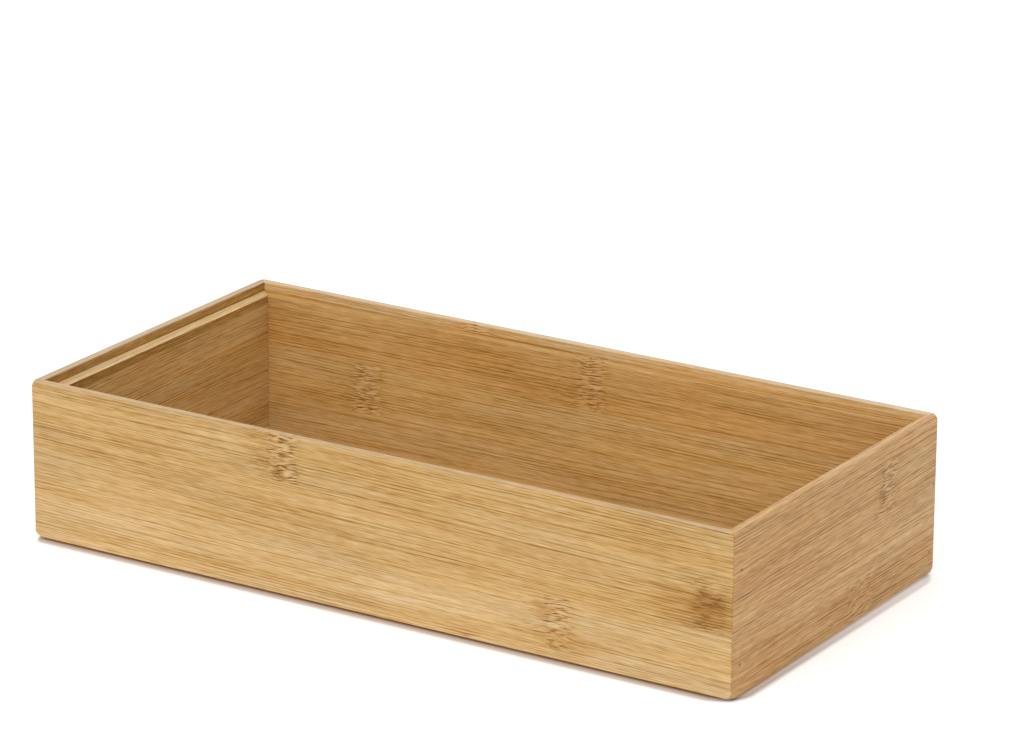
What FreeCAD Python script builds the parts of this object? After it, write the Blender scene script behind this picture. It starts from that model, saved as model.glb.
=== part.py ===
"""Stackable open box of solid bamboo for a vanity top, one STEP file per piece.

Four walls are mitred at the corners. Each wall is sawn from a board that is
glued up edge to edge from bamboo strips, so its lowest and highest strips are
only part of one. The base board is glued up the same way. It lies in a rebate
round the foot of the walls and stands proud below them, so that it drops into
the rabbet inside the rim of another box. Headless pins hold each mitre.
Millimetres, +Z up. The origin is the middle of the underside.
"""
import FreeCAD, Part
import math
import os

# Overall size: a 12 by 6 by 2.5 inch box
length = 304.8
width = 152.4
height = 63.5

# Walls, each glued up from these strips, the lowest one first
wall_thickness = 8.5
wall_strip_names = ("foot", "lower", "upper", "rim")

# Seams between the strips, as shares of the walls' height. The front wall has
# one more, level with the top of the base board, and the back wall has one
# more, level with the ledge of the rabbet.
front_wall_seam_shares = (0.379, 0.709)
back_wall_seam_shares = (0.286, 0.615)
end_wall_seam_shares = (0.246, 0.565, 0.888)

# Rabbet inside the rim, which takes the base of a box stacked on top
rim_width = 3.6
rabbet_depth = 3.5

# Base board, set back from the outer faces so that it clears such a rim
base_thickness = 5.0
base_drop = 1.2
base_strips = 7
stacking_clearance = 0.5

# Arrises, eased with sandpaper
corner_radius = 0.7
outer_top_radius = 0.65
outer_foot_radius = 0.5
rim_inner_radius = 0.4
ledge_radius = 0.5
base_edge_radius = 0.4

# Corner points, sanded rounder than the arrises that meet there, as by a ball
# that clears the arrises by this much
corner_ball_radius = 5.0
corner_ball_clearance = 0.1

# Headless pins, driven through the end walls and the mitres
pin_diameter = 1.2
pin_length = 15.0
pin_recess = 0.4
pin_clearance = 0.05

# How deep in the thickness of the front and back walls the pins run
front_pin_depth_share = 0.68
back_upper_pin_depth_share = 0.235
back_lower_pin_depth_share = 0.45

# How high up the walls the pins are
front_upper_pin_share = 0.756
front_lower_pin_share = 0.188
back_upper_pin_share = 0.565
back_lower_pin_share = 0.14

# Reach of a cutting solid past the face that it leaves
overrun = 2.0

# Faces nearer than this count as being at one place
tolerance = 0.01

# Values that follow from the ones above
wall_foot = base_drop
wall_height = height - wall_foot
ledge_level = height - rabbet_depth
base_inset = rim_width + stacking_clearance
base_length = length - 2 * base_inset
base_width = width - 2 * base_inset
base_strip_width = base_width / base_strips
smallest_arris_radius = min(corner_radius, outer_top_radius, outer_foot_radius)
corner_ball_spread = (corner_ball_radius - smallest_arris_radius) * (1 - math.sqrt(2) / 2)
pin_radius = pin_diameter / 2
hole_radius = pin_radius + pin_clearance
hole_depth = pin_recess + pin_length


def centred_box(size_x, size_y, low_z, high_z):
    """A box centred on the Z axis between two levels."""
    corner = FreeCAD.Vector(-size_x / 2, -size_y / 2, low_z)
    return Part.makeBox(size_x, size_y, high_z - low_z, corner)


def inset_box(inset, low_z, high_z):
    """A centred box whose sides lie inside the outer faces of the walls."""
    return centred_box(length - 2 * inset, width - 2 * inset, low_z, high_z)


def is_upright(box):
    """True for the bounding box of a vertical edge."""
    return box.ZLength > max(box.XLength, box.YLength)


def is_level(box, level):
    """True for the bounding box of an edge that lies at one level."""
    return abs(box.ZMin - level) < tolerance and abs(box.ZMax - level) < tolerance


def upright_edges(shape):
    """The vertical edges of a shape."""
    return [edge for edge in shape.Edges if is_upright(edge.BoundBox)]


def level_edges(shape, level):
    """The edges of a shape that lie at one level."""
    return [edge for edge in shape.Edges if is_level(edge.BoundBox, level)]


def rectangle_edges(shape, inset, level):
    """The edges of a shape on the rectangle at one inset and one level."""
    half_x = length / 2 - inset
    half_y = width / 2 - inset
    found = []
    for edge in level_edges(shape, level):
        box = edge.BoundBox
        on_long_side = box.YLength < tolerance and abs(abs(box.Center.y) - half_y) < tolerance
        on_short_side = box.XLength < tolerance and abs(abs(box.Center.x) - half_x) < tolerance
        if on_long_side or on_short_side:
            found.append(edge)
    return found


def make_corner_envelope():
    """A larger box with round edges, which meets the walls only at their corner points."""
    spread = corner_ball_spread + corner_ball_clearance
    envelope = inset_box(-spread, wall_foot - spread, height + spread)
    return envelope.makeFillet(corner_ball_radius, envelope.Edges)


def make_outer_block():
    """The outside of the four walls as one block, with its arrises and corners eased."""
    block = inset_box(0, wall_foot, height)
    block = block.makeFillet(corner_radius, upright_edges(block))
    block = block.makeFillet(outer_top_radius, level_edges(block, height))
    block = block.makeFillet(outer_foot_radius, level_edges(block, wall_foot))
    return block.common(make_corner_envelope())


def make_wall_ring():
    """The four walls in one ring, with the cavity, rabbet and rebate cut out."""
    ring = make_outer_block()
    ring = ring.cut(inset_box(wall_thickness, wall_foot - overrun, height + overrun))
    ring = ring.cut(inset_box(rim_width, ledge_level, height + overrun))
    ring = ring.cut(inset_box(base_inset, wall_foot - overrun, base_thickness))
    ring = ring.makeFillet(rim_inner_radius, rectangle_edges(ring, rim_width, height))
    return ring.makeFillet(ledge_radius, rectangle_edges(ring, wall_thickness, ledge_level))


def make_mitre_wedge(side):
    """The space of one wall in plan, bounded by its two mitre planes."""
    reach = wall_thickness + overrun
    outer_x = length / 2 + overrun
    outer_y = width / 2 + overrun
    inner_x = length / 2 - reach
    inner_y = width / 2 - reach
    outlines = {
        "front": [(-outer_x, -outer_y), (outer_x, -outer_y), (inner_x, -inner_y), (-inner_x, -inner_y)],
        "back": [(-outer_x, outer_y), (outer_x, outer_y), (inner_x, inner_y), (-inner_x, inner_y)],
        "left": [(-outer_x, -outer_y), (-outer_x, outer_y), (-inner_x, inner_y), (-inner_x, -inner_y)],
        "right": [(outer_x, -outer_y), (outer_x, outer_y), (inner_x, inner_y), (inner_x, -inner_y)],
    }
    low = wall_foot - overrun
    points = [FreeCAD.Vector(x, y, low) for x, y in outlines[side]]
    outline = Part.makePolygon(points + points[:1])
    return Part.Face(outline).extrude(FreeCAD.Vector(0, 0, wall_height + 2 * overrun))


def wall_level(share):
    """The level at a share of the walls' height."""
    return wall_foot + share * wall_height


def strip_levels(side):
    """The levels of a wall's foot, of the seams between its strips, and of its rim."""
    if side == "front":
        seams = [base_thickness] + [wall_level(share) for share in front_wall_seam_shares]
    elif side == "back":
        seams = [wall_level(share) for share in back_wall_seam_shares] + [ledge_level]
    else:
        seams = [wall_level(share) for share in end_wall_seam_shares]
    return [wall_foot] + seams + [height]


def pin_places():
    """The end, inset line and height of each corner's two pins, by corner."""
    front_y = front_pin_depth_share * wall_thickness - width / 2
    back_lower_y = width / 2 - back_lower_pin_depth_share * wall_thickness
    back_upper_y = width / 2 - back_upper_pin_depth_share * wall_thickness
    front_levels = [wall_level(front_lower_pin_share), wall_level(front_upper_pin_share)]
    back_lower_z = wall_level(back_lower_pin_share)
    back_upper_z = wall_level(back_upper_pin_share)
    places = {}
    for end, end_sign in (("left", -1), ("right", 1)):
        places["front_" + end] = [(end_sign, front_y, level) for level in front_levels]
        places["back_" + end] = [(end_sign, back_lower_y, back_lower_z), (end_sign, back_upper_y, back_upper_z)]
    return places


def make_rod(place, radius, start_depth, end_depth):
    """A rod along X, between two depths below the outer face of an end wall."""
    end_sign, y, z = place
    start = FreeCAD.Vector(end_sign * (length / 2 - start_depth), y, z)
    inward = FreeCAD.Vector(-end_sign, 0, 0)
    return Part.makeCylinder(radius, end_depth - start_depth, start, inward)


def make_pin_holes():
    """The holes of all the pins, open at the outer faces of the end walls."""
    places = [place for corner in pin_places().values() for place in corner]
    return Part.makeCompound([make_rod(place, hole_radius, -overrun, hole_depth) for place in places])


def make_walls():
    """The strips of the four walls, by node name."""
    ring = make_wall_ring().cut(make_pin_holes())
    nodes = {}
    for side in ("front", "back", "left", "right"):
        wall = ring.common(make_mitre_wedge(side))
        levels = strip_levels(side)
        for strip_name, low, high in zip(wall_strip_names, levels, levels[1:]):
            nodes[side + "_wall_" + strip_name + "_strip"] = wall.common(inset_box(-overrun, low, high))
    return nodes


def make_base():
    """The strips of the base board by node name, from the front to the back."""
    board = centred_box(base_length, base_width, 0, base_thickness)
    board = board.makeFillet(base_edge_radius, level_edges(board, 0))
    nodes = {}
    for index in range(base_strips):
        corner = FreeCAD.Vector(-length / 2, index * base_strip_width - base_width / 2, -overrun)
        slab = Part.makeBox(length, base_strip_width, base_thickness + 2 * overrun, corner)
        nodes["base_strip_" + str(index + 1)] = board.common(slab)
    return nodes


def make_pins():
    """The pins of each corner by node name, their ends below the face."""
    nodes = {}
    for corner, places in pin_places().items():
        pins = [make_rod(place, pin_radius, pin_recess, hole_depth) for place in places]
        nodes[corner + "_corner_pins"] = Part.makeCompound(pins)
    return nodes


def export_nodes(nodes):
    """Write one STEP file per node and print what it holds."""
    os.makedirs("parts", exist_ok=True)
    for name, shape in nodes.items():
        solids = shape.Solids
        piece = solids[0] if len(solids) == 1 else Part.makeCompound(solids)
        piece.exportStep("parts/" + name + ".step")
        print(name, len(solids), "solid(s), volume", round(piece.Volume), "valid", piece.isValid())


export_nodes(make_walls())
export_nodes(make_base())
export_nodes(make_pins())
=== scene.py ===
"""Finishes, studio and camera for a low, open bamboo box that stacks.

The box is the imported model: mitred walls and a base board, each glued up from
bamboo strips, with headless steel pins at the corners. This script dresses
every strip and pin, and sets the box on a white floor. Blender's lengths are
metres. The bamboo's own lengths are millimetres, and say so.
"""

import logging
import math
from dataclasses import dataclass, replace
from enum import Enum
from typing import Any, Mapping, Sequence

import bpy
from mathutils import Color, Matrix, Vector


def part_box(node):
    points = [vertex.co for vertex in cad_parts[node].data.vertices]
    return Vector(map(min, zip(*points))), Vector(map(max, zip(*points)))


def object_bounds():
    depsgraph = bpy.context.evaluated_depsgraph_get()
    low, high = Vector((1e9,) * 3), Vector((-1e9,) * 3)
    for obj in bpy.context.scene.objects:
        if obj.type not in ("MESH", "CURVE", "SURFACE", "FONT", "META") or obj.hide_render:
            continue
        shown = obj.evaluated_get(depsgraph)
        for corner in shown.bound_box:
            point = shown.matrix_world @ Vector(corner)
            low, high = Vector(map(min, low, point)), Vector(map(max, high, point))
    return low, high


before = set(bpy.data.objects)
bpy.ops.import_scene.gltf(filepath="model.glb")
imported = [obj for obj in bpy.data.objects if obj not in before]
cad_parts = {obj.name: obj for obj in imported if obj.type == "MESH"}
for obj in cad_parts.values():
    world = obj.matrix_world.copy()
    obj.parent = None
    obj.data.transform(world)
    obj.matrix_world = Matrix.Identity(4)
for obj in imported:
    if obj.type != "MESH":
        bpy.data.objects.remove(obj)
cad_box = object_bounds()

log = logging.getLogger("bamboo_box")

MM_PER_M = 1000.0

# A strip as thick as the rim is wide, whose foot is level with the ledge inside the rim
RIM_TONGUE = "back_wall_rim_strip"

# The middle of a noise's values, and the tone of plain wood, where 0 is the darkest
MIDDLE = 0.5

# The brightest that a screen counts to
SCREEN_WHITE = 255

Material = bpy.types.Material
Socket = bpy.types.NodeSocket
Colour = tuple[float, float, float, float]
Stops = Sequence[tuple[float, Colour]]

WHITE: Colour = (1.0, 1.0, 1.0, 1.0)
BLACK: Colour = (0.0, 0.0, 0.0, 1.0)


def linear(red: int, green: int, blue: int) -> Colour:
    """Turn a colour as a screen shows it, from 0 to 255, into the linear one that shaders take."""
    shown = Color([channel / SCREEN_WHITE for channel in (red, green, blue)])
    return (*shown.from_srgb_to_scene_linear(), 1.0)


class Value:
    """A number that varies over a surface. Python's operators on it add Math nodes."""

    def __init__(self, graph: "Graph", socket: Socket) -> None:
        """Wrap an output socket of a graph."""
        self.graph = graph
        self.socket = socket

    def math(self, operation: str, *terms: "Value | float") -> "Value":
        """Add one Math node.

        Args:
            operation: The Math node's operation.
            terms: The node's inputs, in their order.

        Returns:
            The node's result.
        """
        node = self.graph.add("ShaderNodeMath", {"operation": operation}, dict(enumerate(terms)))
        return Value(self.graph, node.outputs[0])

    def __add__(self, other: "Value | float") -> "Value":
        """Add a value or a number."""
        return self.math("ADD", self, other)

    def __radd__(self, other: float) -> "Value":
        """Be added to a number."""
        return self.math("ADD", other, self)

    def __sub__(self, other: "Value | float") -> "Value":
        """Take away a value or a number."""
        return self.math("SUBTRACT", self, other)

    def __rsub__(self, other: float) -> "Value":
        """Be taken away from a number."""
        return self.math("SUBTRACT", other, self)

    def __mul__(self, other: "Value | float") -> "Value":
        """Multiply by a value or a number."""
        return self.math("MULTIPLY", self, other)

    def __rmul__(self, other: float) -> "Value":
        """Be multiplied by a number."""
        return self.math("MULTIPLY", other, self)

    def __truediv__(self, other: "Value | float") -> "Value":
        """Divide by a value or a number."""
        return self.math("DIVIDE", self, other)

    def __rtruediv__(self, other: float) -> "Value":
        """Divide a number."""
        return self.math("DIVIDE", other, self)

    def __abs__(self) -> "Value":
        """Drop the sign."""
        return self.math("ABSOLUTE", self)

    def whole(self) -> "Value":
        """Round down."""
        return self.math("FLOOR", self)

    def root(self) -> "Value":
        """Take the square root."""
        return self.math("SQRT", self)

    def most(self, other: "Value | float") -> "Value":
        """Take the larger of two values."""
        return self.math("MAXIMUM", self, other)

    def rise(self, low: float, high: float) -> "Value":
        """Go smoothly from 0 at one value to 1 at another.

        Args:
            low: The value at and below which the result is 0.
            high: The value at and above which the result is 1.

        Returns:
            The smooth step.
        """
        node = self.graph.add(
            "ShaderNodeMapRange",
            {"interpolation_type": "SMOOTHSTEP"},
            {"Value": self, "From Min": low, "From Max": high},
        )
        return Value(self.graph, node.outputs["Result"])

    def fall(self, low: float, high: float) -> "Value":
        """Go smoothly from 1 at one value to 0 at another."""
        return 1 - self.rise(low, high)

    def mix(self, start: "Value | float", end: "Value | float") -> "Value":
        """Go from one value to another as this one goes from 0 to 1."""
        return start + (end - start) * self


class Blend(Enum):
    """The way that one colour is laid over another."""

    OVER = "MIX"
    STAIN = "MULTIPLY"


class Graph:
    """The node tree of a material or of the world."""

    def __init__(self, tree: bpy.types.NodeTree) -> None:
        """Take over a node tree and empty it."""
        tree.nodes.clear()
        self.tree = tree

    def add(
        self,
        kind: str,
        settings: Mapping[str, Any] | None = None,
        inputs: Mapping[str | int, Any] | None = None,
    ) -> bpy.types.Node:
        """Add a node of any type.

        Args:
            kind: The node's type.
            settings: Its settings, set first. For a colour ramp, stops holds pairs of place and colour.
            inputs: A value, a socket or a plain number or colour for each input named.

        Returns:
            The node.
        """
        node = self.tree.nodes.new(kind)
        for name, setting in (settings or {}).items():
            if name == "stops":
                self.set_stops(node.color_ramp, setting)
            else:
                setattr(node, name, setting)
        for name, term in (inputs or {}).items():
            if isinstance(term, Value):
                self.tree.links.new(term.socket, node.inputs[name])
            elif isinstance(term, Socket):
                self.tree.links.new(term, node.inputs[name])
            else:
                node.inputs[name].default_value = term
        return node

    @staticmethod
    def set_stops(ramp: bpy.types.ColorRamp, stops: Stops) -> None:
        """Give a colour ramp its stops.

        Args:
            ramp: The ramp, as a new node has it, with two stops.
            stops: Pairs of place and colour, in rising order.
        """
        while len(ramp.elements) < len(stops):
            ramp.elements.new(1.0)
        for element, (place, colour) in zip(ramp.elements, stops):
            element.position = place
            element.color = colour

    def coordinates(self, output: str) -> tuple[Value, Value, Value]:
        """Split an output of the Texture Coordinate node.

        Args:
            output: The output's name.

        Returns:
            Its X, Y and Z.
        """
        source = self.add("ShaderNodeTexCoord")
        parts = self.add("ShaderNodeSeparateXYZ", None, {"Vector": source.outputs[output]})
        x, y, z = (Value(self, socket) for socket in parts.outputs)
        return x, y, z

    def noise(self, x: Value, y: Value, z: Value, detail: float = 1.0, roughness: float = 0.5) -> Value:
        """Add a noise texture that is read at one unit per feature.

        Args:
            x: The first coordinate.
            y: The second coordinate.
            z: The third coordinate.
            detail: How many finer octaves there are.
            roughness: How strong each octave is, against the one before it.

        Returns:
            The noise, mostly between 0.25 and 0.75.
        """
        vector = self.add("ShaderNodeCombineXYZ", None, {"X": x, "Y": y, "Z": z})
        settings = {"noise_dimensions": "3D"}
        inputs = {"Vector": vector.outputs[0], "Scale": 1.0, "Detail": detail, "Roughness": roughness}
        node = self.add("ShaderNodeTexNoise", settings, inputs)
        return Value(self, node.outputs[0])

    def ramp(self, value: Value, stops: Stops) -> Socket:
        """Turn a value into a colour through a ramp."""
        return self.add("ShaderNodeValToRGB", {"stops": stops}, {"Fac": value}).outputs["Color"]

    def tint(self, colour: Any, other: Any, mask: "Value | float", blend: Blend = Blend.OVER) -> Socket:
        """Lay one colour over another.

        Args:
            colour: The colour below, a socket or a plain colour.
            other: The colour on top, a socket or a plain colour.
            mask: How much of it shows, from 0 to 1.
            blend: The way that it is laid on.

        Returns:
            The mixed colour.
        """
        settings = {"data_type": "RGBA", "blend_type": blend.value}
        node = self.add("ShaderNodeMix", settings, {0: mask, 6: colour, 7: other})
        return node.outputs[2]

    def bump(self, height: Value) -> Socket:
        """Turn the height of a surface, in millimetres, into its normal."""
        inputs = {"Strength": 1.0, "Distance": 1 / MM_PER_M, "Height": height}
        return self.add("ShaderNodeBump", None, inputs).outputs[0]

    def seen(self) -> Value:
        """Tell a ray that shows a surface from one that only lights by it.

        Returns:
            1 for a ray from the camera, a mirror or clear glass, and 0 otherwise.
        """
        path = self.add("ShaderNodeLightPath")
        names = ("Is Camera Ray", "Is Glossy Ray", "Is Transmission Ray")
        camera, glossy, clear = (Value(self, path.outputs[name]) for name in names)
        return camera.most(glossy).most(clear)


def new_material(name: str) -> tuple[Material, Graph]:
    """Make a material with an empty graph.

    Args:
        name: The material's name.

    Returns:
        The material and its graph.
    """
    material = bpy.data.materials.new(name)
    material.use_nodes = True
    return material, Graph(material.node_tree)


@dataclass(frozen=True)
class StripPoint:
    """Where a point lies in its strip, in millimetres.

    Attributes:
        graph: The graph of the strip's material.
        seed: A number that sets the noise at the point apart from the noise elsewhere.
        along: The place along the fibres.
        across: The place across the strip, from glue line to glue line.
        through: The place through its thickness.
    """

    graph: Graph
    seed: float
    along: Value
    across: Value
    through: Value

    def moved(self, across: Value) -> "StripPoint":
        """Take the same point with another place across the strip."""
        return replace(self, across=across)

    def seeded(self, seed: float) -> "StripPoint":
        """Take the same point with other noise to read there."""
        return replace(self, seed=seed)


@dataclass(frozen=True)
class Streaks:
    """Noise drawn out along the fibres. Lengths are millimetres.

    Attributes:
        length: The size of its features along the strip.
        breadth: Their size across it and through it.
        layer: A number that keeps it apart from the strip's other noise.
        detail: How many finer octaves there are.
        roughness: How strong each octave is, against the one before it.
    """

    length: float
    breadth: float
    layer: float = 0.0
    detail: float = 1.0
    roughness: float = 0.5

    def at(self, place: StripPoint) -> Value:
        """Read the noise.

        Args:
            place: The point in the strip.

        Returns:
            The noise, mostly between 0.25 and 0.75.
        """
        along = place.along / self.length + (place.seed + self.layer)
        across = place.across / self.breadth
        through = place.through / self.breadth
        return place.graph.noise(along, across, through, self.detail, self.roughness)

    def swing(self, place: StripPoint) -> Value:
        """Read the noise as a swing to both sides of 0."""
        return self.at(place) - MIDDLE


@dataclass(frozen=True)
class Lines:
    """Thin lines along the fibres, where the wood's layers come to its surface.

    Attributes:
        length: How long a line stays about as dark, in millimetres.
        pitch: How far apart the layers are, in millimetres.
    """

    length: float
    pitch: float

    # How far the layers lean per unit of depth, and how far they wander and over what breadth, in pitches
    slant = 0.5
    wander = 1.2
    wander_breadth = 2.5

    # Distances from a line's middle, in pitches, where it starts to fade and where it is gone
    fade = (0.04, 0.28)

    # Noise at which a line starts to show and at which it is at its darkest
    showing = (0.34, 0.66)

    # Where the layers are read in that noise: well apart and off its grid, and how deep they stay alike
    layer_step = 3
    layer_start = 0.5
    layer_depth_mm = 20.0

    def at(self, place: StripPoint) -> Value:
        """Draw the lines.

        Args:
            place: The point in the strip.

        Returns:
            1 in the middle of a dark line and 0 between the lines.
        """
        wander = Streaks(self.length, self.wander_breadth * self.pitch, self.pitch).at(place)
        layers = (place.across + self.slant * place.through) / self.pitch + self.wander * wander
        layer = layers.whole()
        showing = place.graph.noise(
            place.along / self.length + place.seed,
            self.layer_step * layer + self.layer_start,
            place.through / self.layer_depth_mm,
            detail=0.0,
        )
        return abs(layers - layer - 1 / 2).fall(*self.fade) * showing.rise(*self.showing)


@dataclass(frozen=True)
class Knot:
    """A culm node, where the fibres break off and start again. Lengths are millimetres.

    Attributes:
        place: Where its middle lies along the strip.
        reach: Half the length of the broken fibres.
        contrast: How strongly its short dashes stand out.
        ground: The tone between the dashes, where plain wood is 0.5.
        smudge: How dark the shade before it is.
        collar: How much of the dashes shows in the faint collar before it.
        bend: How far the fibres beside it bend, as a share of the usual.
    """

    place: float
    reach: float = 6.0
    contrast: float = 1.0
    ground: float = 0.65
    smudge: float = 0.05
    collar: float = 0.30
    bend: float = 1.0

    # The bend of the fibres that pass it
    bend_length = 16.0
    bend_breadth = 5.0
    bend_swing = 1.9
    bend_start = 2.0
    bend_end = 18.0

    # The uneven ends of the broken fibres, like the teeth of a comb
    comb = Streaks(20.0, 0.7, roughness=0.6)
    comb_swing = 12.0

    # The short dashes, on fibres that wave, and the evenly spaced strokes among them
    wave = Streaks(3.0, 2.0)
    wave_swing = 0.6
    dashes = Streaks(4.6, 0.42, layer=6.1, roughness=0.6)
    dash_slope = -0.06
    strokes = Lines(4.6, 1.15)

    # Noise at which a dash starts and is whole, for the dark dashes and for the pale ones
    dark_dash = (0.36, 0.50)
    pale_dash = (0.54, 0.68)

    # How far the tone changes in them and in the tail, how much of the grain's is left, and how deep they are
    dash_depth = 0.44
    stroke_depth = 0.44
    pale_depth = 0.18
    tail_depth = 0.05
    grain_left = 0.5
    dash_relief = 0.12

    # Where its parts start and end along the strip, and the lengths over which they do
    core_start_blur = 0.4
    core_end_blur = 0.8
    collar_start = 17.0
    collar_blur = 2.0
    collar_end = 5.0
    smudge_length = 8.0
    smudge_blur = 2.5
    tail_blur = 0.6
    tail_length = 4.0

    def bent(self, place: StripPoint) -> StripPoint:
        """Bend the fibres where they pass the knot.

        Args:
            place: The point in the strip.

        Returns:
            The point to read the grain at.
        """
        near = abs(place.along - self.place).fall(self.bend_start, self.bend_end)
        swing = place.graph.noise(
            place.along / self.bend_length + place.seed,
            place.across / self.bend_breadth + self.place,
            place.through / self.bend_breadth,
        )
        return place.moved(place.across + self.bend_swing * self.bend * near * (swing - MIDDLE))

    def ahead(self, place: StripPoint) -> Value:
        """Say how far a point lies past the knot's middle, uneven from fibre to fibre."""
        comb = self.comb.swing(place.seeded(place.seed + self.place))
        return place.along - self.place + self.comb_swing * comb

    def split(self, place: StripPoint) -> Value:
        """Break the fibres up into dashes.

        Args:
            place: The point in the strip.

        Returns:
            How far the tone drops in them, less than 0 in the pale ones.
        """
        wave = self.wave_swing * self.wave.swing(place)
        broken = place.moved(place.across + self.dash_slope * place.along + wave)
        dashes = self.dashes.at(broken)
        dark = self.dash_depth * dashes.fall(*self.dark_dash) + self.stroke_depth * self.strokes.at(broken)
        return dark - self.pale_depth * dashes.rise(*self.pale_dash)

    def lay(self, place: StripPoint, tone: Value, relief: Value) -> tuple[Value, Value]:
        """Lay the knot over the grain.

        Args:
            place: The point in the strip.
            tone: The tone of the grain.
            relief: The height of the grain in millimetres.

        Returns:
            The tone and the height with the knot.
        """
        ahead = self.ahead(place)
        start = -self.reach
        end = self.reach
        core = ahead.rise(start - self.core_start_blur, start + self.core_start_blur)
        core = core * ahead.fall(end - self.core_end_blur, end + self.core_end_blur)
        collar = ahead.rise(-self.collar_start, self.collar_blur - self.collar_start)
        collar = collar * ahead.fall(start - self.collar_end, start)
        smudge = ahead.rise(start - self.smudge_length, start) * ahead.fall(start, start + self.smudge_blur)
        tail = ahead.rise(end - self.tail_blur, end + self.tail_blur)
        tail = tail * ahead.fall(end + self.tail_blur, end + self.tail_length)
        split = self.split(place)
        dashed = self.ground + self.grain_left * (tone - MIDDLE) - self.contrast * split
        tone = core.most(self.collar * collar).mix(tone, dashed)
        tone = tone - self.smudge * smudge - self.tail_depth * tail
        return tone, relief - self.dash_relief * self.contrast * core * split


@dataclass(frozen=True)
class Shade:
    """A darker or paler patch in a strip, soft at its edge. Lengths are millimetres.

    Attributes:
        along: Where its middle lies along the strip.
        across: Where its middle lies across the strip.
        length: Half its length.
        breadth: Half its breadth.
        depth: How dark it is, or how pale where less than 0.
    """

    along: float
    across: float
    length: float
    breadth: float
    depth: float

    # The streaks that fray its edge, and how far it fades out, as the square of a share of its size
    fraying = Streaks(26.0, 1.6)
    fraying_swing = 2.4
    fade_end = 1.6

    def darkening(self, place: StripPoint) -> Value:
        """Say how far the patch drops the tone.

        Args:
            place: The point in the strip.

        Returns:
            The drop, less than 0 in a pale patch.
        """
        along = (place.along - self.along) / self.length
        across = (place.across - self.across) / self.breadth
        fraying = self.fraying_swing * self.fraying.swing(place.seeded(self.along))
        return self.depth * (along * along + across * across + fraying).fall(0.0, self.fade_end)


@dataclass(frozen=True)
class BoxPoint:
    """Where a point lies on the box, in millimetres.

    Attributes:
        graph: The material's graph.
        x: The place along the box.
        y: The place across the box.
        z: The height.
    """

    graph: Graph
    x: Value
    y: Value
    z: Value

    # How far the normal leans away from the box's six ways where an arris starts and where it is whole
    arris_lean = (0.01, 0.22)

    # The upward part of the normal where a face starts to count as level and where it does
    level_normal = (0.3, 0.8)

    # Depths below the rim's top between which the ledge's mask gives way to the rim's
    rim_top_depths = (1.5, 0.5)

    # Distances from a corner or joint where its mark starts to fade and where it is gone
    crevice_fade = (0.2, 0.9)
    mitre_fade = (0.04, 0.22)

    # The size of the open stretches of a mitre, and the noise at which one starts and is whole
    stretch = 1.2
    stretch_edge = (0.44, 0.58)

    @classmethod
    def read(cls, graph: Graph) -> "BoxPoint":
        """Read the point in a material's graph."""
        x, y, z = (axis * MM_PER_M for axis in graph.coordinates("Object"))
        return cls(graph, x, y, z)

    def arris(self) -> Value:
        """Find the eased edges, where the surface faces none of the six ways of the box."""
        x, y, z = (abs(axis) for axis in self.graph.coordinates("Normal"))
        return (1 - x.most(y).most(z)).rise(*self.arris_lean)

    def level_faces(self) -> tuple[Value, Value]:
        """Find the faces of a wall that look up.

        Returns:
            1 on the top of the rim and 0 elsewhere, and 1 on the ledge and 0 elsewhere.
        """
        _, _, upright = self.graph.coordinates("Normal")
        level = upright.rise(*self.level_normal)
        top = cad_box[1].z * MM_PER_M
        high = self.z.rise(*(top - depth for depth in self.rim_top_depths))
        return level * high, level * (1 - high)

    def crevice_dust_and_shade(self) -> Value:
        """Find the inner corner of the rabbet, painted darker partly for sanding dust and partly as painted
        shade in the corner.

        Returns:
            1 in the corner and 0 away from it.
        """
        low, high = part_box(RIM_TONGUE)
        inset = high.y - low.y
        off_x = abs(self.x) - (cad_box[1].x - inset) * MM_PER_M
        off_y = abs(self.y) - (cad_box[1].y - inset) * MM_PER_M
        off = abs(off_x.most(off_y)).most(abs(self.z - low.z * MM_PER_M))
        return off.fall(*self.crevice_fade)

    def mitre(self) -> Value:
        """Find the joint line of the mitres, broken up as a sanded joint is.

        Returns:
            1 in an open stretch of the joint and 0 away from it.
        """
        half_length, half_width, _ = cad_box[1]
        off = abs(abs(self.x) - abs(self.y) - (half_length - half_width) * MM_PER_M)
        x, y, z = (axis / self.stretch for axis in (self.x, self.y, self.z))
        stretches = self.graph.noise(x, y, z, detail=2.0, roughness=0.6)
        return off.fall(*self.mitre_fade) * stretches.rise(*self.stretch_edge)


class Grain(Enum):
    """The axis that a strip's fibres run along."""

    LENGTHWISE = "x"
    CROSSWISE = "y"


class Facing(Enum):
    """What a strip is part of, by the axis that runs across it there."""

    WALL = "z"
    FLOOR = "y"


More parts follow.
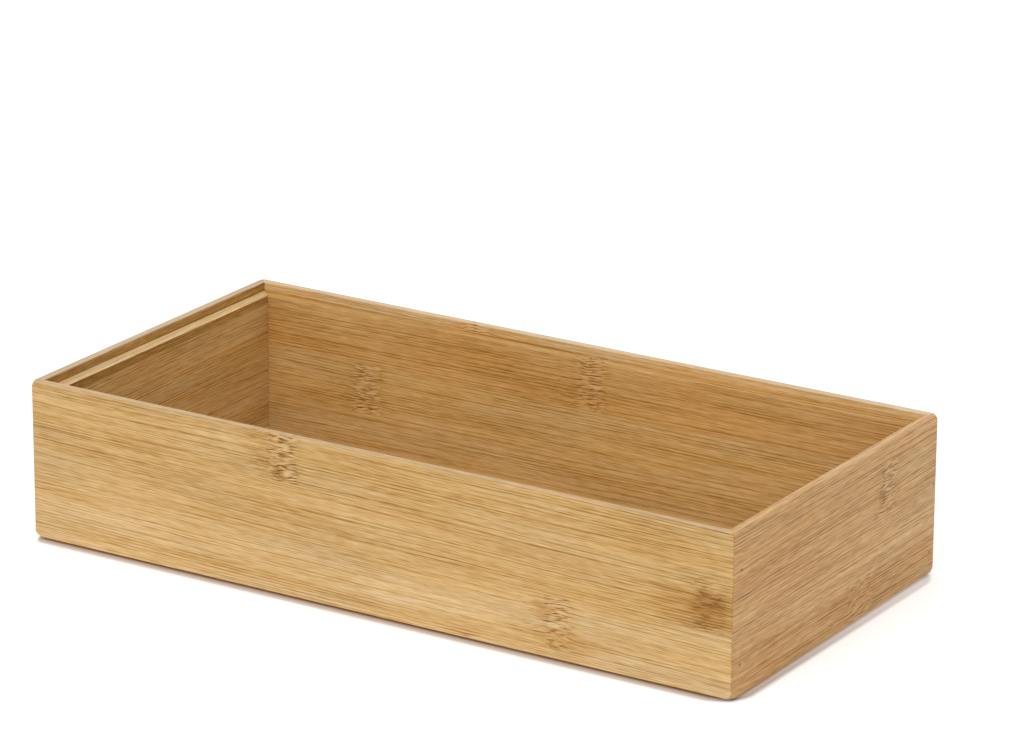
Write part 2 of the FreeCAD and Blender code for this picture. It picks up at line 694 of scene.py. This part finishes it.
@dataclass(frozen=True)
class StripLie:
    """How a strip lies in its board. Lengths are millimetres.

    Attributes:
        grain: The way that its fibres run.
        facing: What it is part of.
        board: The board's number, which sets the slow changes of tone.
        seed: The strip's own number, which sets its grain.
        low: Where its lower or nearer edge lies across the strip.
        high: Where its other edge lies.
    """

    grain: Grain
    facing: Facing
    board: float
    seed: float
    low: float
    high: float

    # Half the breadth of a glue line
    glue_breadth = 0.16

    # The part of the normal across the strip at which the line is whole and at which it is gone
    glue_normal = (0.3, 0.7)

    def place(self, point: BoxPoint) -> StripPoint:
        """Say where a point of the box lies in the strip.

        Args:
            point: The point on the box.

        Returns:
            The point in the strip.
        """
        along, beside = (point.x, point.y) if self.grain is Grain.LENGTHWISE else (point.y, point.x)
        across, through = (point.z, beside) if self.facing is Facing.WALL else (beside, point.z)
        return StripPoint(point.graph, self.seed, along, across, through)

    def glue(self, place: StripPoint) -> Value:
        """Find the glue line along each edge of the strip, on the faces that cross it.

        Args:
            place: The point in the strip.

        Returns:
            1 in the middle of the line and 0 away from it.
        """
        _, level, upright = place.graph.coordinates("Normal")
        edgewise = abs(upright if self.facing is Facing.WALL else level)
        inside = (self.high - self.low) / 2 - abs(place.across - (self.low + self.high) / 2)
        return inside.fall(0.0, self.glue_breadth) * edgewise.fall(*self.glue_normal)


@dataclass(frozen=True)
class BambooStrip:
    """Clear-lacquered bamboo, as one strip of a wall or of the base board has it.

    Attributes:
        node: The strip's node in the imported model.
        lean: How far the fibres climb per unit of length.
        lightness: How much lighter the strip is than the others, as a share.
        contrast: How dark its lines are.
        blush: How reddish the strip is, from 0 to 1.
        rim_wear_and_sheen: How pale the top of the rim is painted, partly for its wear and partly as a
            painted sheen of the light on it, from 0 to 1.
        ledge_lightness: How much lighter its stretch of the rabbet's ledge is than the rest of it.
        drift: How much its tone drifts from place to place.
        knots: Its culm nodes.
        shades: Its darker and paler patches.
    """

    node: str
    lean: float = 0.0
    lightness: float = 0.0
    contrast: float = 1.0
    blush: float = 0.0
    rim_wear_and_sheen: float = 0.0
    ledge_lightness: float = 0.0
    drift: float = 0.3
    knots: tuple[Knot, ...] = ()
    shades: tuple[Shade, ...] = ()

    # Tones of the wood, from the darkest fibres to the palest
    tones = (
        (0.0, linear(126, 80, 18)),
        (0.25, linear(169, 125, 56)),
        (0.5, linear(199, 158, 98)),
        (0.75, linear(219, 183, 131)),
        (1.0, linear(237, 209, 170)),
    )
    hues = ((0.0, linear(248, 252, 255)), (1.0, linear(255, 252, 238)))
    blush_tint = linear(255, 236, 212)
    # The rim's pale top: its wear, and a painted sheen of the white light that it catches
    rim_wear_and_sheen_tone = linear(226, 208, 182)
    glue_tone = linear(126, 82, 42)

    # Slow changes along the board
    sway = Streaks(110.0, 16.0)
    sway_swing = 2.0
    clouds = Streaks(60.0, 16.0)
    warmth = Streaks(60.0, 8.0, layer=5.5)
    warmth_range = (0.2, 0.8)

    # The plain grain, and how far each of its parts changes the tone
    plain_tone = 0.63
    grain = Streaks(60.0, 2.4)
    grain_depth = 0.03
    fibre = Streaks(26.0, 0.80, layer=0.9)
    fibre_depth = 0.08
    thread = Streaks(6.5, 0.45, layer=2.3)
    thread_depth = 0.62
    sheen = Streaks(80.0, 0.80, layer=2.9, detail=0.0)
    sheen_range = (0.62, 0.74)
    sheen_depth = 0.06
    bands = Streaks(130.0, 5.0, layer=3.1)
    band_depth = 0.03

    # The thin lines, fainter in the calm zones
    lines = Lines(85.0, 1.20)
    line_depth = 0.38
    hairs = Lines(36.0, 0.66)
    hair_depth = 0.35
    zones = Streaks(45.0, 7.0, layer=4.3)
    zone_range = (0.36, 0.60)
    calm_share = 0.82

    # Heights of the grain and depth of an open mitre, in millimetres
    grain_relief = 0.02
    thread_relief = 0.02
    line_relief = 0.08
    mitre_relief = 0.03

    # What edges, corners, patches and joints do to the tone and the colour. The darker edges are painted
    # shade that holds back the lamps' highlight on them, and the darker corner is partly painted shade
    arris_shade_depth = 0.05
    # The rabbet's inner corner: partly sanding dust, partly painted shade
    crevice_dust_and_shade_depth = 0.10
    shade_blush = 1.8
    glue_share = 0.30
    mitre_share = 0.5

    # The lacquer
    roughness = 0.50
    pale_gloss = 0.12
    arris_gloss = 0.06
    wood_ior = 1.45
    wood_specular = 0.42
    coat = 0.12
    coat_roughness = 0.25

    def material(self, lie: StripLie) -> Material:
        """Make the strip's material.

        Args:
            lie: How the strip lies in its board.

        Returns:
            The material.
        """
        material, graph = new_material(self.node + "_bamboo")
        point = BoxPoint.read(graph)
        place = lie.place(point)
        grained = self.swayed(place)
        tone, relief = self.fibres(grained)
        for knot in self.knots:
            tone, relief = knot.lay(grained, tone, relief)
        blush = self.blush
        for shade in self.shades:
            darkening = shade.darkening(grained)
            tone = tone - darkening
            blush = blush + self.shade_blush * darkening
        arris = point.arris()
        rim_top, ledge = point.level_faces()
        on_board = grained.seeded(lie.board)
        tone = tone + self.drift * self.clouds.swing(on_board)
        # Painted shade: the eased edges are darkened against the lamps' highlight, and the rabbet's inner
        # corner partly for its shade
        tone = tone - self.arris_shade_depth * arris - self.crevice_dust_and_shade_depth * point.crevice_dust_and_shade()
        tone = tone + self.lightness + self.ledge_lightness * ledge
        mitre = point.mitre()
        joint = (self.glue_share * lie.glue(place)).most(self.mitre_share * mitre)
        warmth = self.warmth.at(on_board).rise(*self.warmth_range)
        colour = graph.ramp(tone, self.tones)
        colour = graph.tint(colour, graph.ramp(warmth, self.hues), 1.0, Blend.STAIN)
        colour = graph.tint(colour, self.blush_tint, blush, Blend.STAIN)
        # Painted sheen with wear: the top of the rim is paled
        colour = graph.tint(colour, self.rim_wear_and_sheen_tone, self.rim_wear_and_sheen * rim_top)
        colour = graph.tint(colour, self.glue_tone, joint)
        shader = graph.add(
            "ShaderNodeBsdfPrincipled",
            None,
            {
                "Base Color": colour,
                "Roughness": self.roughness - self.pale_gloss * (tone - MIDDLE) - self.arris_gloss * arris,
                "Normal": graph.bump(relief - self.mitre_relief * mitre),
                "IOR": self.wood_ior,
                "Specular IOR Level": self.wood_specular,
                "Coat Weight": self.coat,
                "Coat Roughness": self.coat_roughness,
            },
        )
        graph.add("ShaderNodeOutputMaterial", None, {"Surface": shader.outputs[0]})
        return material

    def swayed(self, place: StripPoint) -> StripPoint:
        """Let the fibres lean and sway, and bend past the knots.

        Args:
            place: The point in the strip.

        Returns:
            The point to read the grain at.
        """
        sway = self.sway_swing * self.sway.swing(place)
        grained = place.moved(place.across + self.lean * place.along + sway)
        for knot in self.knots:
            grained = knot.bent(grained)
        return grained

    def fibres(self, place: StripPoint) -> tuple[Value, Value]:
        """Make the plain grain between the knots.

        Args:
            place: The point in the strip.

        Returns:
            The tone, about 0.5, and the height of the surface in millimetres.
        """
        zone = self.zones.at(place).rise(*self.zone_range)
        grain = self.grain.swing(place)
        thread = self.thread.swing(place)
        lines = self.line_depth * self.lines.at(place)
        hairs = self.hair_depth * self.hairs.at(place)
        marks = (self.calm_share + (1 - self.calm_share) * zone) * self.contrast * lines.most(hairs)
        tone = self.plain_tone + self.grain_depth * grain
        tone = tone + self.fibre_depth * self.fibre.swing(place)
        tone = tone + self.thread_depth * self.contrast * thread
        tone = tone + self.band_depth * self.bands.swing(place)
        tone = tone + self.sheen_depth * self.sheen.at(place).rise(*self.sheen_range)
        relief = self.grain_relief * grain + self.thread_relief * thread - self.line_relief * marks
        return tone - marks, relief


@dataclass(frozen=True)
class PinSteel:
    """Dulled steel wire, with the bright cut of its end worn grey. Lengths are millimetres."""

    shade = linear(228, 202, 170)
    rust = linear(190, 138, 92)

    # The scale on it, longer along the wire, and the noise at which rust starts and is whole
    scale_length = 0.5
    scale_breadth = 0.25
    rust_edge = (0.45, 0.7)
    scale_relief = 0.02

    # How dull the bare steel is, and how much duller the scale
    roughness = 0.35
    scale_dulling = 0.4

    def material(self) -> Material:
        """Make the pins' material.

        Returns:
            The material.
        """
        material, graph = new_material("dull_pin_steel")
        point = BoxPoint.read(graph)
        along = point.x / self.scale_length
        beside, up = (axis / self.scale_breadth for axis in (point.y, point.z))
        scale = graph.noise(along, beside, up, detail=3.0, roughness=0.6)
        shader = graph.add(
            "ShaderNodeBsdfPrincipled",
            None,
            {
                "Base Color": graph.tint(self.shade, self.rust, scale.rise(*self.rust_edge)),
                "Metallic": 1.0,
                "Roughness": self.roughness + self.scale_dulling * scale,
                "Normal": graph.bump(self.scale_relief * scale),
            },
        )
        graph.add("ShaderNodeOutputMaterial", None, {"Surface": shader.outputs[0]})
        return material


def dress(node: str, material: Material) -> None:
    """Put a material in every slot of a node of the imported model, and report it.

    Args:
        node: The node's name.
        material: The material.
    """
    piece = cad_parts[node]
    if not piece.material_slots:
        piece.data.materials.append(material)
    for slot in piece.material_slots:
        slot.material = material
    log.info("%s: %s", node, material.name)


@dataclass(frozen=True)
class Board:
    """A board glued up edge to edge from strips.

    Attributes:
        number: Its number, for the slow changes of tone that run on across its seams.
        strips: Its strips, which number on from it.
        grain: The axis that its fibres run along.
    """

    number: float
    strips: tuple[BambooStrip, ...]
    grain: Grain = Grain.LENGTHWISE

    facing = Facing.WALL

    def dress(self) -> None:
        """Give each strip its bamboo."""
        for order, strip in enumerate(self.strips, 1):
            low, high = (getattr(corner, self.facing.value) * MM_PER_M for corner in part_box(strip.node))
            lie = StripLie(self.grain, self.facing, self.number, self.number + order, low, high)
            dress(strip.node, strip.material(lie))


class Wall(Board):
    """One wall of the box, its lowest strip first."""


class BaseBoard(Board):
    """The base board, its front strip first."""

    facing = Facing.FLOOR


@dataclass(frozen=True)
class CornerPins:
    """The headless pins that hold the mitres.

    Attributes:
        nodes: The node of each corner's two pins.
    """

    nodes: tuple[str, ...] = (
        "front_left_corner_pins",
        "front_right_corner_pins",
        "back_left_corner_pins",
        "back_right_corner_pins",
    )

    def dress(self) -> None:
        """Give the pins their steel."""
        steel = PinSteel().material()
        for node in self.nodes:
            dress(node, steel)


@dataclass(frozen=True)
class WhiteFloor:
    """A white floor, open under the base board and clear from below. Lengths are metres.

    Attributes:
        reach: Half the side of the floor.
        opening_inset: How far inside the walls' faces its opening under the base board lies.
        colour: The floor's own colour.
        shade_colour: What is seen of it in the shade beside a long wall, warm from the bamboo.
        side_colour: The same beside the ends of the box.
        gap_colour: The same in the gap under the walls.
        gap_glow: The colour of the light in the gap under an end wall.
        side_lift: How strong that light is.
        floor_lift: How much the floor gains in what is seen of it straight, away from the box.
        gap_start: How far from the walls the gap's own colour is whole.
        gap_end: How far from them it is gone.
        shadow_start: How far from the walls the floor's gain starts.
        shadow_end: How far from them it is whole.
        far_share: How much of it there is at the far corner of an end, up to the wall.
        shadow_radius: The radius of the shade's corners.
        side_delay: How much further out both are at the right end.
        left_squeeze: How many times narrower the shade is at the left end.
    """

    reach: float = 6.0
    opening_inset: float = 0.0046
    colour: Colour = (0.85, 0.85, 0.85, 1.0)
    shade_colour: Colour = linear(224, 210, 203)
    side_colour: Colour = linear(208, 200, 195)
    gap_colour: Colour = linear(207, 168, 110)
    gap_glow: Colour = linear(237, 196, 158)
    side_lift: float = 0.22
    floor_lift: float = 0.45
    gap_start: float = -0.0022
    gap_end: float = -0.0006
    shadow_start: float = 0.0008
    shadow_end: float = 0.004
    far_share: float = 0.5
    shadow_radius: float = 0.012
    side_delay: float = 0.0003
    left_squeeze: float = 3.0

    def mesh(self) -> bpy.types.Mesh:
        """Make the floor's mesh.

        Returns:
            A square ring of four faces round the opening.
        """
        inner_x = cad_box[1].x - self.opening_inset
        inner_y = cad_box[1].y - self.opening_inset
        corners = ((-1, -1), (1, -1), (1, 1), (-1, 1))
        outline = [(self.reach * x, self.reach * y, 0) for x, y in corners]
        opening = [(inner_x * x, inner_y * y, 0) for x, y in corners]
        sides = len(corners)
        faces = []
        for side in range(sides):
            after = (side + 1) % sides
            faces.append((side, after, sides + after, sides + side))
        mesh = bpy.data.meshes.new("white_floor")
        mesh.from_pydata(outline + opening, [], faces)
        return mesh

    def whereabouts(self, graph: Graph) -> tuple[Value, Value, Value]:
        """Say where a point of the floor lies from the walls.

        Args:
            graph: The material's graph.

        Returns:
            Its distance from the walls, 1 beside an end and 0 beside a long wall, and 0 at the front
            of the box and 1 at its back.
        """
        low, high = cad_box
        x, y, _ = graph.coordinates("Object")
        off_x = (x - high.x).most(self.left_squeeze * (low.x - x))
        off_y = abs(y) - high.y
        beside = (off_x - off_y).rise(-self.shadow_end, self.shadow_end)
        round_x, round_y = ((axis + self.shadow_radius).most(0.0) for axis in (off_x, off_y))
        off = (round_x * round_x + round_y * round_y).root() - self.shadow_radius - self.side_delay * beside
        return off, beside, y.rise(low.y, high.y)

    def shown_shader(self, graph: Graph) -> Socket:
        """Make what is seen of the floor, shaded at the foot of the walls.

        Args:
            graph: The material's graph.

        Returns:
            The shader.
        """
        off, beside, back = self.whereabouts(graph)
        open_floor = off.rise(self.shadow_start, self.shadow_end).most(self.far_share * beside * back)
        colour = graph.tint(self.shade_colour, self.side_colour, beside)
        colour = graph.tint(colour, self.gap_colour, off.fall(self.gap_start, self.gap_end))
        colour = graph.tint(colour, self.colour, open_floor)
        under_end = beside * off.fall(self.gap_end, self.shadow_start)
        gain = tuple(self.floor_lift * part for part in self.colour)
        glow = graph.tint(BLACK, self.gap_glow, self.side_lift * under_end)
        glow = graph.tint(glow, gain, open_floor)
        shader = graph.add(
            "ShaderNodeBsdfPrincipled",
            None,
            {
                "Base Color": colour,
                "Roughness": 1.0,
                "Specular IOR Level": 0.0,
                "Emission Color": glow,
                "Emission Strength": 1.0,
            },
        )
        return shader.outputs[0]

    def material(self) -> Material:
        """Make the floor's material.

        Returns:
            The material, which lights the box as plain matt white, whatever is seen of it.
        """
        material, graph = new_material("white_floor")
        matt = graph.add("ShaderNodeBsdfDiffuse", None, {"Color": self.colour}).outputs[0]
        shown = self.shown_shader(graph)
        above = graph.add("ShaderNodeMixShader", None, {0: graph.seen(), 1: matt, 2: shown})
        below = graph.add("ShaderNodeNewGeometry").outputs["Backfacing"]
        clear = graph.add("ShaderNodeBsdfTransparent").outputs[0]
        surface = graph.add("ShaderNodeMixShader", None, {0: below, 1: above.outputs[0], 2: clear})
        graph.add("ShaderNodeOutputMaterial", None, {"Surface": surface.outputs[0]})
        return material

    def build(self) -> None:
        """Lay the floor under the box."""
        mesh = self.mesh()
        mesh.materials.append(self.material())
        floor = bpy.data.objects.new("white_floor", mesh)
        bpy.context.scene.collection.objects.link(floor)
        log.info("white_floor: %.0f m square", 2 * self.reach)


@dataclass(frozen=True)
class Lamp:
    """A square soft box that points at the box's middle.

    Attributes:
        name: The lamp's name.
        place: Where it hangs, in metres.
        size: The length of its side, in metres.
        level: How bright a white surface that faces it gets, where 1 is white.
    """

    name: str
    place: tuple[float, float, float]
    size: float
    level: float

    def hang(self) -> None:
        """Make the lamp."""
        data = bpy.data.lights.new(self.name, "AREA")
        data.shape = "SQUARE"
        data.size = self.size
        place = Vector(self.place)
        data.energy = self.level * math.pi**2 * place.length_squared
        lamp = bpy.data.objects.new(self.name, data)
        lamp.location = place
        lamp.rotation_euler = (-place).to_track_quat("-Z", "Y").to_euler()
        bpy.context.scene.collection.objects.link(lamp)
        log.info("%s: a lamp %.1f m across", self.name, self.size)


@dataclass(frozen=True)
class Studio:
    """White floor, white surroundings and soft boxes.

    Attributes:
        floor: The floor.
        sky_level: How bright the surroundings are as a light.
        lamps: The soft boxes.
    """

    floor: WhiteFloor = WhiteFloor()
    sky_level: float = 0.70
    lamps: tuple[Lamp, ...] = (
        Lamp("key_soft_box", (0.2, -2.0, 1.3), 1.4, 0.34),
        Lamp("top_soft_box", (0.0, 0.1, 2.2), 1.6, 0.14),
    )

    def light_sky(self) -> None:
        """Make the world white to look at, and plain light for everything else."""
        world = bpy.data.worlds.new("white_surroundings")
        bpy.context.scene.world = world
        world.use_nodes = True
        graph = Graph(world.node_tree)
        strength = graph.seen().mix(self.sky_level, 1.0)
        sky = graph.add("ShaderNodeBackground", None, {"Color": WHITE, "Strength": strength})
        graph.add("ShaderNodeOutputWorld", None, {"Surface": sky.outputs[0]})

    def build(self) -> None:
        """Make the floor, the surroundings and the lamps."""
        self.floor.build()
        self.light_sky()
        for lamp in self.lamps:
            lamp.hang()


@dataclass(frozen=True)
class ProductCamera:
    """The camera of the product photograph. Lengths are millimetres, angles degrees.

    Attributes:
        frame_width: The width of the frame in pixels.
        focal_length: The focal length in the same pixels.
        sensor_width: The width of its sensor.
        yaw: How far the camera stands round to the right of the box's front.
        pitch: How far it looks down.
        roll: How far the frame is turned.
        aim_height: The height of the point that it is set out from.
        distance: How far it stands from that point along its view.
        aim_right: Where that point lies to the right of the view's middle.
        aim_up: Where that point lies above the view's middle.
    """

    frame_width: float = 1024.0
    focal_length: float = 5047.26
    sensor_width: float = 36.0
    yaw: float = 32.0038
    pitch: float = 18.6608
    roll: float = 0.31125
    aim_height: float = 30.0
    distance: float = 1896.254
    aim_right: float = -11.745
    aim_up: float = -39.527

    def place(self) -> None:
        """Make the camera, and make it the scene's own."""
        yaw, pitch, roll = (math.radians(angle) for angle in (self.yaw, self.pitch, self.roll))
        ahead = Vector((-math.sin(yaw), math.cos(yaw), 0.0))
        forward = ahead * math.cos(pitch) - Vector((0.0, 0.0, math.sin(pitch)))
        level = Vector((math.cos(yaw), math.sin(yaw), 0.0))
        upright = level.cross(forward)
        right = level * math.cos(roll) + upright * math.sin(roll)
        up = upright * math.cos(roll) - level * math.sin(roll)
        aim = Vector((0.0, 0.0, self.aim_height))
        stand = aim - right * self.aim_right - up * self.aim_up - forward * self.distance
        data = bpy.data.cameras.new("product_camera")
        data.sensor_width = self.sensor_width
        data.lens = self.focal_length / self.frame_width * self.sensor_width
        camera = bpy.data.objects.new("product_camera", data)
        turn = Matrix((right, up, -forward)).transposed().to_4x4()
        camera.matrix_world = Matrix.Translation(stand / MM_PER_M) @ turn
        bpy.context.scene.collection.objects.link(camera)
        bpy.context.scene.camera = camera
        log.info("product_camera: %.0f mm lens", data.lens)


FRONT_WALL = Wall(
    number=10,
    strips=(
        BambooStrip(
            "front_wall_foot_strip",
            lean=0.010,
            lightness=0.12,
            drift=0.2,
            shades=(
                Shade(50, 3.2, 75, 3, -0.08),
                Shade(41.6, 3.4, 7, 1.4, 0.16),
                Shade(42.5, 2.6, 2, 0.7, 0.14),
            ),
        ),
        BambooStrip(
            "front_wall_lower_strip",
            lean=0.014,
            lightness=0.06,
            drift=0.2,
            knots=(Knot(81, 4.6, ground=0.61, smudge=0.03),),
            shades=(
                Shade(-105, 12, 60, 4, -0.09),
                Shade(-125, 19.5, 35, 2.5, 0.08),
                Shade(28, 13, 34, 4.5, -0.15),
                Shade(-70, 6.6, 80, 1.4, 0.05),
                Shade(112, 14, 34, 3.5, 0.07),
                Shade(76, 19.5, 6, 5, 0.14),
                Shade(87, 10, 16, 4, 0.14),
            ),
        ),
        BambooStrip(
            "front_wall_upper_strip",
            lean=0.017,
            drift=0.2,
            knots=(Knot(142.5, 5.6, contrast=0.55, ground=0.53, smudge=0.04, collar=0, bend=0.5),),
            shades=(
                Shade(-75, 35, 55, 4, 0.06),
                Shade(-135, 38, 18, 4.5, 0.08),
                Shade(15, 31, 80, 1.8, 0.04),
                Shade(72, 41.5, 85, 3, 0.11),
                Shade(144, 35, 26, 8.5, 0.16),
                Shade(142.5, 35.5, 7, 7, 0.16),
            ),
        ),
        BambooStrip(
            "front_wall_rim_strip",
            lean=0.015,
            lightness=-0.05,
            rim_wear_and_sheen=0.14,
            drift=0.22,
            knots=(Knot(-37.5),),
            shades=(
                Shade(-47, 55, 9, 9, 0.08),
                Shade(-39.5, 48.5, 3.5, 1.6, 0.24),
                Shade(-76, 57, 32, 1.8, -0.08),
                Shade(138, 56, 30, 6, 0.03),
            ),
        ),
    ),
)
BACK_WALL = Wall(
    number=20,
    strips=(
        BambooStrip("back_wall_foot_strip"),
        BambooStrip("back_wall_lower_strip", lean=0.003, knots=(Knot(-96),)),
        BambooStrip(
            "back_wall_upper_strip",
            lean=-0.003,
            lightness=-0.02,
            blush=0.5,
            ledge_lightness=-0.07,
            knots=(Knot(7),),
        ),
        BambooStrip("back_wall_rim_strip", lean=0.002, lightness=0.14, rim_wear_and_sheen=0.30, knots=(Knot(-48),)),
    ),
)
LEFT_WALL = Wall(
    number=30,
    grain=Grain.CROSSWISE,
    strips=(
        BambooStrip("left_wall_foot_strip", lean=0.003),
        BambooStrip("left_wall_lower_strip", knots=(Knot(-22),)),
        BambooStrip("left_wall_upper_strip", lean=-0.004),
        # The left rim strip is set darker partly as painted shade, the shade that the box's contents cast on
        # it
        BambooStrip("left_wall_rim_strip", lightness=-0.27, rim_wear_and_sheen=0.48, ledge_lightness=0.52),
    ),
)
RIGHT_WALL = Wall(
    number=40,
    grain=Grain.CROSSWISE,
    strips=(
        BambooStrip(
            "right_wall_foot_strip",
            lean=0.003,
            contrast=1.25,
            blush=0.8,
            drift=0.2,
            knots=(Knot(18, 8, contrast=0.90, smudge=0.03, collar=0),),
            shades=(Shade(16, 9, 22, 5, 0.06), Shade(-66, 12, 14, 3.5, -0.05)),
        ),
        BambooStrip(
            "right_wall_lower_strip",
            lightness=0.08,
            contrast=1.25,
            blush=0.8,
            drift=0.2,
            shades=(
                Shade(-64, 32, 18, 3, -0.06),
                Shade(0, 24.5, 90, 2.5, -0.07),
                Shade(40, 35, 60, 2, 0.07),
            ),
        ),
        BambooStrip(
            "right_wall_upper_strip",
            lean=-0.012,
            lightness=0.01,
            contrast=1.25,
            blush=0.8,
            drift=0.2,
            knots=(Knot(38.5, contrast=1.05, ground=0.63, smudge=0.03, collar=0),),
            shades=(
                Shade(33.5, 43.5, 2.5, 4, 0.14),
                Shade(-58, 45, 40, 4, 0.06),
                Shade(58, 49, 16, 9, -0.07),
            ),
        ),
        BambooStrip("right_wall_rim_strip", lightness=0.04, contrast=1.25, blush=0.8, rim_wear_and_sheen=0.07, drift=0.2),
    ),
)
BASE_BOARD = BaseBoard(
    number=50,
    strips=(
        BambooStrip("base_strip_1"),
        BambooStrip("base_strip_2", knots=(Knot(-64),)),
        BambooStrip("base_strip_3", lightness=0.03),
        BambooStrip("base_strip_4", knots=(Knot(88),)),
        BambooStrip("base_strip_5", lightness=-0.03),
        BambooStrip("base_strip_6", knots=(Knot(-12),)),
        BambooStrip("base_strip_7"),
    ),
)


def main() -> None:
    """Dress the box, and set up the studio and the camera."""
    logging.basicConfig(level=logging.INFO, format="%(name)s %(message)s")
    for part in (FRONT_WALL, BACK_WALL, LEFT_WALL, RIGHT_WALL, BASE_BOARD, CornerPins()):
        part.dress()
    Studio().build()
    ProductCamera().place()
    bpy.context.scene.view_settings.view_transform = "Standard"


if __name__ == "__main__":
    main()
